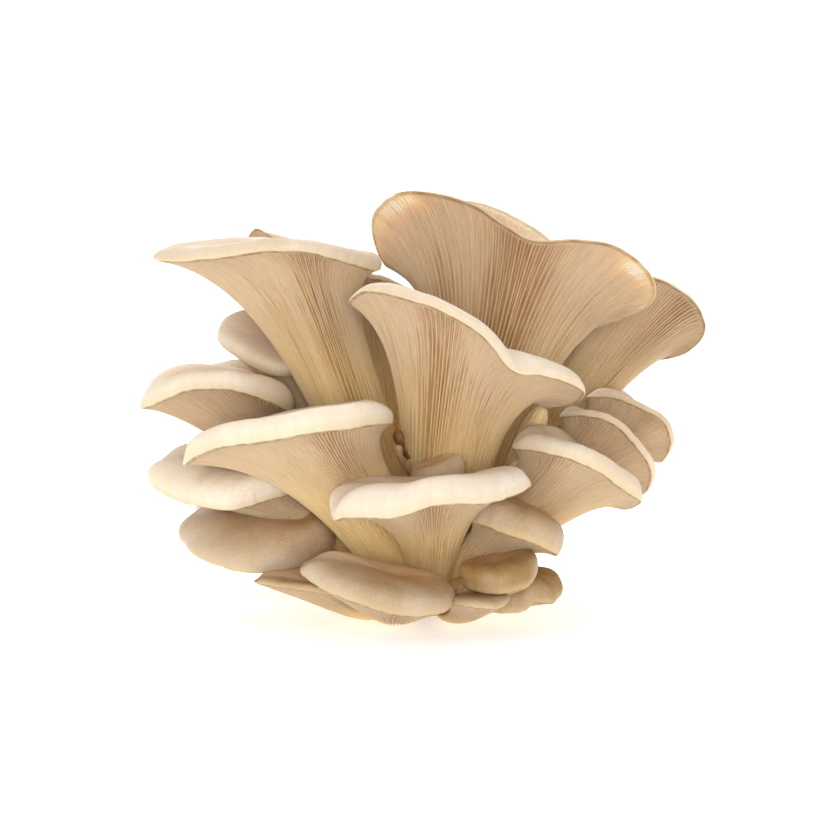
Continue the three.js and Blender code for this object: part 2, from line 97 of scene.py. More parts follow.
# The fruit bodies, from the earliest grown to the last
fruit_body(
    "top_right", "largest", root=(10, 4, 20), hub=(27, 100, 0),
    stem=11, neck=12, lip=2.2, flesh=8, dome=2, tan=0.8,
    rim=[(-11, 116, -8), (-15.5, 125, -14), (-15.5, 133, -16), (-8, 140, -17), (6, 139, -22),
        (17, 135.7, -26), (27, 129.3, -30), (35, 124.8, -32), (50, 124.4, -31), (63, 122.4, -29),
        (73.5, 114.5, -25), (75, 106, -20), (66, 99.8, -15), (54, 96, -8), (47, 97, 2),
        (50, 109, 18), (44, 122, 30), (27, 133.5, 35), (12, 137.5, 30), (-5, 127, 14)],
)
fruit_body(
    "top_left", "largest", root=(-6, -2, 20), hub=(-36, 111, -28),
    stem=10.5, neck=12, lip=5, flesh=7, dome=3, tan=0.35, flare=0.72,
    rim=[(-85.5, 118.2, -28), (-77, 117.7, -41), (-63, 119, -51), (-50, 120.8, -56),
        (-37, 120.9, -55), (-26, 117.9, -48), (-17, 115.2, -38), (-12.8, 115.3, -25),
        (-22, 117.5, -3), (-45, 121, 7), (-69, 120.5, -2), (-83, 119, -15)],
)
fruit_body(
    "centre", "largest", root=(6, -10, 20), hub=(10, 86, -44),
    stem=12, neck=14, lip=4.5, flesh=7, dome=3, tan=0.2,
    rim=[(-23.3, 105, -51), (-18, 108.4, -59), (-4, 105.4, -69), (10, 100.2, -72), (20, 93.6, -71),
        (27, 84.8, -71), (31, 81.9, -71), (40, 81, -67), (50, 77.4, -56), (52.5, 75, -48),
        (48, 71.5, -40), (39, 71, -33), (30, 80, -24), (14, 93, -18), (-4, 102, -20),
        (-20, 103, -38)],
)
fruit_body(
    "right_rear", "large", root=(15, 10, 18), hub=(64, 94, 20),
    stem=8, neck=9, lip=2, flesh=6, dome=2, tan=0.2,
    rim=[(52, 103, 12), (62, 113, 5), (76, 112, -1), (87, 105.5, -3), (91, 98.5, -2),
        (90.5, 94, 0), (84, 88, 5), (69.5, 86, 15), (62, 91, 27), (66, 103, 37), (60, 111, 36),
        (51, 110, 24)],
)
fruit_body(
    "front_left", "large", root=(-6, -24, 18), hub=(-29, 57, -54),
    stem=10.5, neck=13, lip=8, flesh=6, dome=4, tan=0.05,
    rim=[(-76, 52.6, -48), (-67.5, 57, -60), (-48, 60.3, -72), (-36, 62.2, -74), (-24, 63.8, -72),
        (-14.5, 65.4, -66), (-9.5, 65.6, -58), (-9.5, 66.5, -49), (-17, 66, -41), (-34, 63.5, -34),
        (-57, 59, -33), (-73, 54, -39)],
)
fruit_body(
    "front", "large", root=(3, -28, 14), hub=(4, 41, -64),
    stem=8, neck=8.5, lip=7.5, flesh=5, dome=2, tan=0.1,
    rim=[(-28, 34.8, -70), (-24.5, 35.3, -76), (-8, 35.6, -84), (4, 39.1, -85), (21, 40.2, -80),
        (31, 43, -70), (35.2, 45.5, -60), (29, 42, -49), (10, 39, -46), (-12, 40, -46),
        (-27, 40.5, -58)],
)
fruit_body(
    "right_front", "middling", root=(10, -14, 14), hub=(44, 48, -42),
    stem=9, neck=11, lip=5.5, flesh=7, dome=4, tan=0.25,
    rim=[(29, 58, -44), (35, 57.2, -53), (45, 55.3, -60), (58, 49.5, -59), (67, 43, -54),
        (70.5, 40.5, -48), (65, 38.3, -40), (56, 42, -31), (52, 52, -25), (42, 60, -27),
        (32, 61, -35)],
)
fruit_body(
    "right_middle", "middling", root=(13, -6, 15), hub=(54, 54, -20),
    stem=7.5, neck=9, lip=3.5, flesh=6, dome=3, tan=0.3,
    rim=[(44.5, 68.2, -25), (51, 68.6, -32), (60, 66.6, -37), (68.2, 59.5, -38), (73.4, 51, -33),
        (71.5, 43.5, -24), (63, 44, -12), (63, 55, -4), (57, 66, -4), (47, 70, -13)],
)
fruit_body(
    "right_back", "middling", root=(14, 2, 15), hub=(62, 61, -4),
    stem=7, neck=8, lip=3, flesh=6, dome=3, tan=0.4,
    rim=[(53, 74.6, -8), (61, 74.3, -15), (70, 71, -18), (77, 67, -18), (80, 60, -14),
        (77, 53.5, -8), (73, 56, 2), (72, 66, 7), (65, 74, 5), (57, 76, -1)],
)
fruit_body(
    "left", "middling", root=(-10, -4, 16), hub=(-58, 71, -16),
    stem=7.5, neck=8, lip=7, flesh=6, dome=4, tan=0.08,
    rim=[(-90, 70.6, -16), (-83, 72.8, -28), (-73.5, 76.6, -35), (-57, 75.6, -38), (-47, 72, -32),
        (-41.5, 68.5, -21), (-45, 71, -7), (-60, 77, 4), (-78, 78, -1), (-88, 74, -8)],
)
fruit_body(
    "left_upper", "small", root=(-8, 4, 20), hub=(-46, 86, -5),
    stem=5.5, neck=6, lip=4.5, flesh=7, dome=1, tan=0.12,
    rim=[(-65.3, 93.5, -9), (-62.5, 89.5, -15), (-55, 84.5, -19), (-46, 81, -18), (-38, 82, -12),
        (-36, 90, -1), (-44, 98, 4), (-54, 100, 3), (-62.3, 98.3, -2)],
)
fruit_body(
    "left_lower", "middling", root=(-12, -13, 14), hub=(-46, 43, -26),
    stem=6.5, neck=7, lip=6, flesh=14, dome=1, tan=0.05,
    rim=[(-87.4, 48, -20), (-83.5, 43.5, -30), (-73.6, 39.7, -40), (-61, 38, -45),
        (-51, 40.6, -42), (-42, 43, -36), (-36, 45, -28), (-36, 49, -19), (-44, 53, -11),
        (-58, 55, -6), (-74, 54, -7), (-85, 51, -12)],
)
fruit_body(
    "left_lowest", "middling", root=(-12, -14, 9), hub=(-38, 25, -28),
    stem=6.5, neck=7, lip=5, flesh=11, dome=4, tan=0.6,
    rim=[(-77.4, 29.8, -24), (-73.6, 24.4, -35), (-66, 20.4, -43), (-56, 18, -47),
        (-45, 18.6, -46), (-36, 21, -40), (-29, 24.5, -32), (-28, 29, -22), (-37, 34, -12),
        (-52, 37, -8), (-66, 36.5, -9), (-75, 33.5, -15)],
)
fruit_body(
    "right_lower", "middling", root=(8, -22, 12), hub=(26, 31.5, -51),
    stem=7.5, neck=8, lip=6.5, flesh=8, dome=4, tan=0.75,
    rim=[(14.6, 34.6, -54), (20.5, 33, -62), (28.5, 29.8, -67), (36, 27.4, -65), (43.5, 23.6, -56),
        (41, 24.5, -47), (37, 30, -38), (26, 36, -36), (16, 37.5, -43)],
)
fruit_body(
    "bottom_left", "middling", root=(-8, -31, 9.4), hub=(-11, 1.8, -57),
    stem=8, neck=9, lip=5.5, flesh=16.5, dome=2, tan=0.7,
    rim=[(-38.7, 18.6, -62), (-35.5, 15.2, -69), (-25.5, 10, -77), (-11, 5.2, -79), (1.5, 4, -78),
        (8.5, 6, -73), (10, 10, -64), (3, 12, -56), (-12, 13.5, -52), (-28, 19.5, -53),
        (-36.5, 21, -57)],
)
fruit_body(
    "bottom_outer", "small", root=(-13, -26, 9), hub=(-26, 5, -48),
    stem=8.5, neck=9, lip=2.5, flesh=9, dome=1, tan=0.8,
    rim=[(-53.5, 15.6, -50), (-46, 13.6, -58), (-37, 12.6, -61), (-29, 11, -59), (-24, 13, -52),
        (-31, 17, -42), (-44, 18, -43)],
)
fruit_body(
    "bottom_right", "small", root=(8, -24, 9), hub=(25, 11, -56),
    stem=6, neck=6.5, lip=6, flesh=10.5, dome=1.5, tan=1.0,
    rim=[(13.5, 15, -59), (16, 12.6, -66), (25, 11.2, -72), (34, 13.4, -68), (37.4, 18.5, -60),
        (34, 20, -51), (22, 16, -49)],
)
fruit_body(
    "bottom_small", "small", root=(10, -29, 9), hub=(11, 0.2, -57),
    stem=7.5, neck=7.5, lip=2.5, flesh=12, dome=0.5, tan=0.75,
    rim=[(9.5, 8.6, -68), (14, 7.6, -74), (21, 6.6, -77), (26.5, 7.4, -74), (28.2, 10.2, -67),
        (23, 12.2, -60), (13, 11.8, -60)],
)
fruit_body(
    "bottom_far_right", "small", root=(12, -18, 7), hub=(30, 8, -46),
    stem=5.5, neck=6, lip=5, flesh=10, dome=1, tan=0.95,
    rim=[(18, 8, -50), (24, 5.4, -60), (33, 5.8, -61), (37, 8.6, -57), (42.5, 8.4, -54),
        (45.5, 12.5, -48), (41, 14, -40), (28, 13, -36), (20, 12, -42)],
)
fruit_body(
    "inner_small", "small", root=(4, -26, 22), hub=(7, 46, -44),
    stem=4, neck=4.5, lip=4.5, flesh=8, dome=0.5, tan=0.6,
    rim=[(-2, 45.5, -43), (2.5, 45.8, -49), (8.5, 46.8, -51), (13.8, 50, -47), (13.8, 52, -42),
        (8, 50.5, -39), (0.5, 48, -38)],
)
fruit_body(
    "middle_rear", "middling", root=(-3, 8, 20), hub=(-15, 101, 20),
    stem=7, neck=8, lip=3, flesh=5, dome=3, tan=0.3,
    rim=[(-30, 111, 20), (-24, 113, 13), (-14, 112, 10), (-5, 108, 12), (0, 105, 20),
        (-3, 104, 33), (-14, 107, 41), (-26, 110, 33)],
)
fruit_body(
    "rear_high_left", "middling", root=(-7, 12, 20), hub=(-42, 108, 38),
    stem=9, neck=10, lip=4, flesh=6, dome=3, tan=0.15,
    rim=[(-59, 116.5, 34), (-56.5, 122.5, 22), (-53, 128.3, 15), (-46, 124.5, 12),
        (-37, 118.5, 16), (-33, 112, 26), (-30, 104.5, 44), (-34, 99, 60), (-43, 98, 66),
        (-52, 102.5, 58), (-57, 109.5, 46)],
)
fruit_body(
    "rear_high", "middling", root=(4, 14, 20), hub=(13, 84, 56),
    stem=9, neck=10, lip=5, flesh=6, dome=3, tan=0.15,
    rim=[(-18, 96, 52), (-4, 101, 42), (12, 102, 39), (30, 99, 42), (41, 92, 54), (44, 82, 70),
        (32, 76, 82), (12, 74, 86), (-8, 80, 80), (-18, 88, 66)],
)
fruit_body(
    "rear_right", "hidden", root=(13, 12, 16), hub=(46, 66, 42),
    stem=8, neck=9, lip=5, flesh=6, dome=4, tan=0.3,
    rim=[(30, 72, 36), (44, 78, 26), (60, 76, 29), (71, 68, 40), (74, 58, 54), (64, 52, 66),
        (48, 54, 68), (34, 62, 54)],
)
fruit_body(
    "rear_left", "hidden", root=(-14, 9, 16), hub=(-53, 70, 32),
    stem=8, neck=8.5, lip=6, flesh=5, dome=5, tan=0.25,
    rim=[(-74, 76, 22), (-66, 81, 12), (-52, 82, 14), (-43, 79, 24), (-40, 72, 40), (-46, 64, 54),
        (-58, 64, 56), (-69, 70, 42)],
)
fruit_body(
    "rear_middle", "hidden", root=(-4, 18, 15), hub=(-12, 54, 54),
    stem=8, neck=8.5, lip=7, flesh=6, dome=6, tan=0.15,
    rim=[(-36, 60, 52), (-26, 66, 40), (-10, 67, 38), (6, 64, 44), (12, 56, 58), (4, 48, 74),
        (-14, 46, 78), (-31, 51, 68)],
)
fruit_body(
    "rear_low_left", "hidden", root=(-14, 12, 13), hub=(-45, 37, 36),
    stem=6.5, neck=7, lip=6, flesh=5, dome=5, tan=0.3,
    rim=[(-70, 38, 28), (-58, 45, 20), (-44, 46, 24), (-33, 42, 36), (-33, 34, 50), (-45, 28, 58),
        (-62, 28, 53), (-71, 33, 41)],
)
fruit_body(
    "rear_low_right", "hidden", root=(12, 14, 13), hub=(27, 38, 42),
    stem=6.5, neck=7, lip=6, flesh=5, dome=5, tan=0.35,
    rim=[(10, 44, 37), (20, 48, 29), (34, 46, 27), (43, 41, 33), (45, 35, 45), (38, 30, 57),
        (24, 30, 61), (13, 35, 51)],
)
fruit_body(
    "rear_lowest", "small", root=(2, 16, 12), hub=(4, 32, 48),
    stem=5.5, neck=6, lip=5, flesh=4, dome=5, tan=0.4,
    rim=[(-12, 36, 46), (-4, 42, 38), (10, 42, 38), (20, 37, 45), (19, 30, 57), (6, 26, 62),
        (-8, 28, 58)],
)

YOUNG_BUDS = []


def young_bud(name, path, radii, dry):
    """Notes one bud that stopped growing: its path on the front view and its radii, in mm."""
    YOUNG_BUDS.append({"name": name, "path": path, "radii": radii, "dry": dry})


young_bud(
    "young_bud_behind_right",
    path=[(22, 36, -24), (29, 50, -25), (35, 62, -25), (39, 72, -25)],
    radii=[3.6, 3.7, 4.2, 3.4], dry=0.0,
)
young_bud(
    "young_bud_right",
    path=[(25, 34, -37), (28.5, 44, -37), (31, 50, -36), (32.4, 55, -35)],
    radii=[2.6, 2.7, 3.0, 2.4], dry=0.08,
)
young_bud(
    "young_bud_dry_upper",
    path=[(-4.0, 55, -34), (-6.2, 58.6, -40), (-7.0, 61.5, -43), (-7.3, 64.2, -44)],
    radii=[0.6, 1.0, 1.7, 1.3], dry=1.0,
)
young_bud(
    "young_bud_dry_lower",
    path=[(-2.5, 47, -33), (-5.2, 52.6, -40), (-7.2, 56.8, -43), (-7.4, 59.2, -44)],
    radii=[0.5, 0.6, 1.2, 2.0], dry=0.55,
)

# How a margin rolls over: its lean, its curve's handle as a share of the lip, and how much of the
# lean goes outwards
LIP_LEAN = math.radians(28)
LIP_HANDLE = 2.2
LIP_OUTWARD = 0.5
# A margin thins at a cap's tips: where the rim turns more than TIP_BEND starts, over this share of it
TIP_SPAN = 0.07
TIP_BEND = (0.5, 1.2)
TIP_THINNING = 0.7
# How far up the stem, and how far out on the top, the middle handle of each curve lies
STEM_BEND = 0.55
TOP_SPREAD = 0.5
# Steps between two of a rim's points, before it is spaced evenly
CURVE_STEPS = 80
# Waves round a rim, from broad to fine
RIM_WAVES = (5, 7, 11, 17, 26)
# Waves round a cap's top, and their height in mm
TOP_WAVES = (2, 3, 5)
TOP_WOBBLE = 0.6

# Rows of the mesh, as shares of the way from root to rim and then from rim to the top's middle
STEM_ROWS = np.array([0.0, 0.05, 0.1])
GILL_ROWS = (0.14, 0.9)
LAST_GILL_ROWS = [0.925, 0.945, 0.962, 0.976, 0.987, 0.995]
LIP_ROWS = np.array([0.0, 0.012, 0.028, 0.05, 0.08, 0.12])
# Stem and top have one column to this many of the gills'
COARSE_STEP = 4
# The margin is rounded this often, in full up to the first distance from it and not past the second
ROUNDINGS = 5
ROUNDED = (0.6, 2.6)

# Gills: half the width of an edge in mm, and where they rise from the stem and end at the rim
EDGE_WIDTH = 0.27
GILLS_RISE = (0.06, 0.3)
GILLS_END = (0.95, 0.992)
# Towards the margin they grow faint, but less so in the open strips
GILLS_FAINT = (0.68, 0.94)
FAINTNESS = 0.6
STRIPS_KEEP = 0.85
# They are half as open on the stem, and fully open from here on
GILLS_OPEN = (0.3, 0.62)
# Shorter gills between the long ones: where each starts, how soon it is up, and its height
SECOND_GILLS = {"start": (0.3, 0.56), "rise": 0.1, "height": 0.8}
THIRD_GILLS = {"start": (0.52, 0.82), "rise": 0.08, "height": 0.6}

# Gills stand open in a few strips round a cap, and close up between them to this share. The painted
# shade down between the gills is deepest in the strips. A strip is its angle from the widest one, how
# open it is, and its half width, in radians of the rim.
CLOSED_GILLS = 0.2
OPEN_STRIPS = (
    (0.0, 1.0, 0.38),
    (-0.9, 0.4, 0.28),
    (1.0, 0.34, 0.28),
    (2.4, 0.3, 0.5),
    (-2.5, 0.3, 0.5),
)
# A gap goes in by this share of its depth where gills are closed
CLOSED_DEPTH = 0.45

# Where along the front rim the widest strip lies, as X in mm. Elsewhere it is at the foremost point.
WIDEST_STRIP = {
    "top_right": 33,
    "top_left": -34,
    "centre": 5,
    "front_left": -27,
    "front": 4,
    "right_front": 40,
    "right_middle": 52,
    "left": -52,
}

# Farther than any cap is wide, in mm
OUT_OF_REACH = 100.0

# A young bud's sides and rings, and how far along it its rounded head starts
BUD_SIDES = 28
BUD_RINGS = 36
HEAD_STARTS = 0.6

# The butt's width and height down its side, as shares of its radius and height
BUTT_SIDES = 120
BUTT_PROFILE = [
    (0.4, 0.0), (0.8, 0.0), (0.97, 0.0), (1.0, 0.012), (1.02, 0.06), (1.035, 0.12), (1.04, 0.18),
    (1.035, 0.25), (1.02, 0.34), (0.99, 0.42), (0.95, 0.5), (0.9, 0.58), (0.82, 0.67), (0.72, 0.76),
    (0.6, 0.84), (0.45, 0.91), (0.28, 0.96), (0.12, 0.99),
]

# The first fruit body's random seed. Each later one has the next number.
FIRST_SEED = 100

# Small nicks in a margin, in mm: how far apart on average, how deep and how wide
NICK_EVERY = 16.0
NICK_DEPTH = (0.1, 0.45)
NICK_WIDTH = (0.5, 1.8)


def smoothstep(low, high, value):
    """A smooth rise from 0 at low to 1 at high."""
    share = np.clip((value - low) / (high - low), 0.0, 1.0)
    return share * share * (3.0 - 2.0 * share)


def unit(vectors):
    """The same directions, with a length of 1."""
    return vectors / np.maximum(np.linalg.norm(vectors, axis=-1, keepdims=True), 1e-12)


def seen(points):
    """Points of the front view, as points of the cluster, in mm."""
    points = np.atleast_2d(np.asarray(points, float))
    across, up, depth = points.T
    sin, cos = math.sin(VIEW_PITCH), math.cos(VIEW_PITCH)
    raised = up - VIEW_MIDDLE["up"]
    behind = depth - FRONT_DEPTH
    height = (raised * (VIEW_DISTANCE + behind * cos) - VIEW_DISTANCE * behind * sin) / (
        VIEW_DISTANCE * cos + raised * sin
    )
    away = VIEW_DISTANCE + behind * cos - height * sin
    middle = VIEW_MIDDLE["across"]
    x = middle + (across - middle) * away / VIEW_DISTANCE
    return np.column_stack([x, depth, VIEW_MIDDLE["height"] + height])


def closed_curve(points, count):
    """Evenly spaced points on the smooth loop through the given ones."""
    before, here = np.roll(points, 1, 0), points
    after, beyond = np.roll(points, -1, 0), np.roll(points, -2, 0)
    first = np.sqrt(np.linalg.norm(here - before, axis=1))[:, None]
    second = np.sqrt(np.linalg.norm(after - here, axis=1))[:, None]
    third = np.sqrt(np.linalg.norm(beyond - after, axis=1))[:, None]
    leave = (here - before) / first - (after - before) / (first + second) + (after - here) / second
    arrive = (after - here) / second - (beyond - here) / (second + third) + (beyond - after) / third
    leave, arrive = leave * second, arrive * second
    t = np.linspace(0, 1, CURVE_STEPS, endpoint=False)[None, :, None]
    start, end = here[:, None], after[:, None]
    run = leave[:, None] * t + (-3 * start + 3 * end - 2 * leave[:, None] - arrive[:, None]) * t**2
    run = run + (2 * start - 2 * end + leave[:, None] + arrive[:, None]) * t**3
    dense = (start + run).reshape(-1, 3)
    dense = np.vstack([dense, dense[:1]])
    lengths = np.concatenate([[0], np.cumsum(np.linalg.norm(np.diff(dense, axis=0), axis=1))])
    wanted = np.linspace(0, lengths[-1], count, endpoint=False)
    return np.column_stack([np.interp(wanted, lengths, dense[:, k]) for k in range(3)])


def turned(vector, start, end):
    """A vector turned by the shortest turn from one direction to another."""
    cross = np.cross(start, end)
    cos = float(np.dot(start, end))
    return vector * cos + np.cross(cross, vector) + cross * np.dot(cross, vector) / (1.0 + cos)


def cubic(a, b, c, d, t):
    """A point at a share of the way along a cubic curve from a to d."""
    u = 1.0 - t
    return a * u**3 + 3 * b * u**2 * t + 3 * c * u * t**2 + d * t**3


class Form:
    """The smooth underside and top of one fruit body, on a given number of columns."""

    def __init__(self, body, columns, waver, seed):
        self.root = np.array(body["root"], float)
        self.hub = seen(body["hub"])[0]
        self.body = body
        rim = closed_curve(seen(body["rim"]), columns)
        self.normal = unit(np.cross(rim, np.roll(rim, -1, 0)).sum(0))
        self.count = columns

        # The cap's own axes, tipped over to the stem's, and each column's angle round the stem
        rise = unit(self.hub - self.root)
        side = unit(np.array([1.0, 0, 0]) - self.normal[0] * self.normal)
        front = np.cross(self.normal, side)
        out = rim - self.hub
        share = 2 * math.pi / columns
        steps = np.arange(columns) * share
        lead = np.arctan2(out @ front, out @ side) - steps
        start = math.atan2(np.sin(lead).sum(), np.cos(lead).sum())
        off = np.arctan2(np.sin(lead - start), np.cos(lead - start))
        angles = start + steps + off / 2
        self.round = (
            turned(side, self.normal, rise) * np.cos(angles)[:, None]
            + turned(front, self.normal, rise) * np.sin(angles)[:, None]
        )
        flat = out - (out @ self.normal)[:, None] * self.normal
        self.out = unit(flat)
        self.turn = steps

        # The margin strays up and down, thins at its tips and has small nicks
        rng = np.random.default_rng(seed)
        wave = np.zeros(columns)
        for waves in RIM_WAVES:
            wave += rng.uniform(0.4, 1.0) * np.sin(waves * steps + rng.uniform(0, 6.3)) / waves**0.6
        self.rim = rim + waver * wave[:, None] * self.normal
        span = max(1, round(columns * TIP_SPAN))
        before = unit(rim - np.roll(rim, span, 0))
        after = unit(np.roll(rim, -span, 0) - rim)
        bend = np.arccos(np.clip((before * after).sum(1), -1.0, 1.0))
        self.lips = 1.0 - TIP_THINNING * smoothstep(*TIP_BEND, bend)[:, None]
        length = np.linalg.norm(rim - np.roll(rim, 1, 0), axis=1).sum()
        for _ in range(int(length / NICK_EVERY)):
            spot = rng.uniform(0, 2 * math.pi)
            off = np.abs(np.angle(np.exp(1j * (steps - spot)))) / (2 * math.pi) * length
            nick = rng.uniform(*NICK_DEPTH) * np.exp(-((off / rng.uniform(*NICK_WIDTH)) ** 2))
            self.rim = self.rim - nick[:, None] * self.out

    def under(self, s):
        """The underside, at a share of the way from root to rim."""
        body = self.body
        foot = self.root + body["stem"] * self.round
        stalk = self.root + STEM_BEND * (self.hub - self.root) + body["neck"] * self.round
        flare = self.rim + body["flare"] * (self.hub - self.rim)
        return cubic(foot, stalk, flare, self.rim, s)

    def over(self, t):
        """The top, at a share of the way from rim to middle."""
        body = self.body
        middle = self.hub + body["flesh"] * self.normal
        handle = LIP_HANDLE * body["lip"] * self.lips
        lip = (
            self.rim
            + handle * math.cos(LIP_LEAN) * self.normal
            + handle * math.sin(LIP_LEAN) * LIP_OUTWARD * self.out
        )
        inward = self.rim - middle
        inward = inward - (inward @ self.normal)[:, None] * self.normal
        swell = middle + TOP_SPREAD * inward + body["dome"] * self.normal
        return cubic(self.rim, lip, swell, np.broadcast_to(middle, self.rim.shape), t)


def gill_shape(form, grade, rows, positions, depth, rng):
    """How far each vertex lies below the gills' edges, and a mask of painted shade between the gills:
    its height up a gill from 0 to 1, lowered into shade where they stand open.
    """
    gills = grade["gills"]
    # Each column's place between two long gills, the gill it belongs to, and its half of that space
    fraction = (np.arange(form.count) / grade["fine"]) % 1.0
    owner = (np.arange(form.count) // grade["fine"]) % gills
    quarter = 2 * owner + (fraction > 0.5)
    second_start = rng.uniform(*SECOND_GILLS["start"], gills)[owner]
    third_start = rng.uniform(*THIRD_GILLS["start"], 2 * gills)[quarter]
    phase = rng.uniform(0, 2 * math.pi, 3)
    # The angle of each column from the widest open strip, which lies on the front half
    across = WIDEST_STRIP.get(form.body["name"], form.rim[np.argmin(form.rim[:, 1]), 0])
    behind = form.rim[:, 1] > form.rim[:, 1].mean()
    away = np.abs(form.rim[:, 0] - across) + OUT_OF_REACH * behind
    facing = form.turn - form.turn[np.argmin(away)]
    strip = np.zeros(form.count)
    for middle, openness_and_gap_shade, half in OPEN_STRIPS:
        off = np.angle(np.exp(1j * (facing - middle)))
        strip = np.maximum(strip, openness_and_gap_shade * np.exp(-((off / half) ** 2)))
    spread = CLOSED_GILLS + (1.0 - CLOSED_GILLS) * strip
    drop = np.zeros((len(rows), form.count))
    height = np.zeros_like(drop)
    for k, s in enumerate(rows):
        ring = positions[k]
        gap = np.linalg.norm(np.roll(ring, -1, 0) - np.roll(ring, 1, 0), axis=1) / 2
        period = gap * grade["fine"]
        # Gills waver a little sideways, by shares of the space between two
        sway = 0.03 * np.sin(3 * form.turn + 6 * s + phase[0])
        sway = sway + 0.02 * np.sin(7 * form.turn - 9 * s + phase[1])
        spot = (fraction + sway) % 1.0
        ridge = np.exp(-((np.minimum(spot, 1 - spot) * period / EDGE_WIDTH) ** 2))
        rise = smoothstep(0.0, SECOND_GILLS["rise"], s - second_start)
        second = np.exp(-((np.abs(spot - 0.5) * period / EDGE_WIDTH) ** 2))
        ridge = np.maximum(ridge, SECOND_GILLS["height"] * rise * second)
        if grade["thirds"]:
            rise = smoothstep(0.0, THIRD_GILLS["rise"], s - third_start)
            nearest = np.minimum(np.abs(spot - 0.25), np.abs(spot - 0.75))
            third = np.exp(-((nearest * period / EDGE_WIDTH) ** 2))
            ridge = np.maximum(ridge, THIRD_GILLS["height"] * rise * third)
        full = smoothstep(*GILLS_RISE, s) * (1.0 - smoothstep(*GILLS_END, s))
        faded = FAINTNESS * smoothstep(*GILLS_FAINT, s) * (1.0 - STRIPS_KEEP * strip)
        outer = (1.0 - faded) * (0.5 + 0.5 * smoothstep(*GILLS_OPEN, s))
        drop[k] = depth * full * outer * (CLOSED_DEPTH + (1.0 - CLOSED_DEPTH) * spread) * (1.0 - ridge)
        # Painted shade down between the gills, deepest where they stand open
        shade = np.minimum(1.0, grade["openness_and_gap_shade"] * full * outer * spread)
        height[k] = 1.0 - shade * (1.0 - ridge)
    return drop, height


def relax(lines, near, rounds):
    """Rounds the margin: each vertex drifts to its neighbours' middle along its own column."""
    weight = near[:, None, None]
    for _ in range(rounds):
        middle = (lines[:-2] + lines[2:]) / 2
        lines[1:-1] += 0.5 * weight[1:-1] * (middle - lines[1:-1])
    return lines


def quads(low, high):
    """Faces between two rings with the same number of vertices."""
    return np.column_stack([low, np.roll(low, -1), np.roll(high, -1), high])


def capped_tube(rings, sides):
    """Faces of a tube of equal rings, with a first and a last point that close its ends."""
    index = [np.arange(1 + k * sides, 1 + (k + 1) * sides) for k in range(rings)]
    faces = [[0, b, a] for a, b in zip(index[0], np.roll(index[0], -1))]
    for low, high in zip(index[:-1], index[1:]):
        faces += quads(low, high).tolist()
    last = 1 + rings * sides
    faces += [[a, b, last] for a, b in zip(index[-1], np.roll(index[-1], -1))]
    return faces


def fan_in(fine, coarse, step, flip):
    """Triangles between a fine ring and one with a step-th of its vertices."""
    faces = []
    count = len(coarse)
    for j in range(count):
        here, after = coarse[j], coarse[(j + 1) % count]
        row = [fine[(j * step + k) % len(fine)] for k in range(step + 1)]
        half = step // 2
        for k in range(step):
            faces.append([row[k], row[k + 1], here if k < half else after])
        faces.append([row[half], after, here])
    if flip:
        faces = [face[::-1] for face in faces]
    return faces


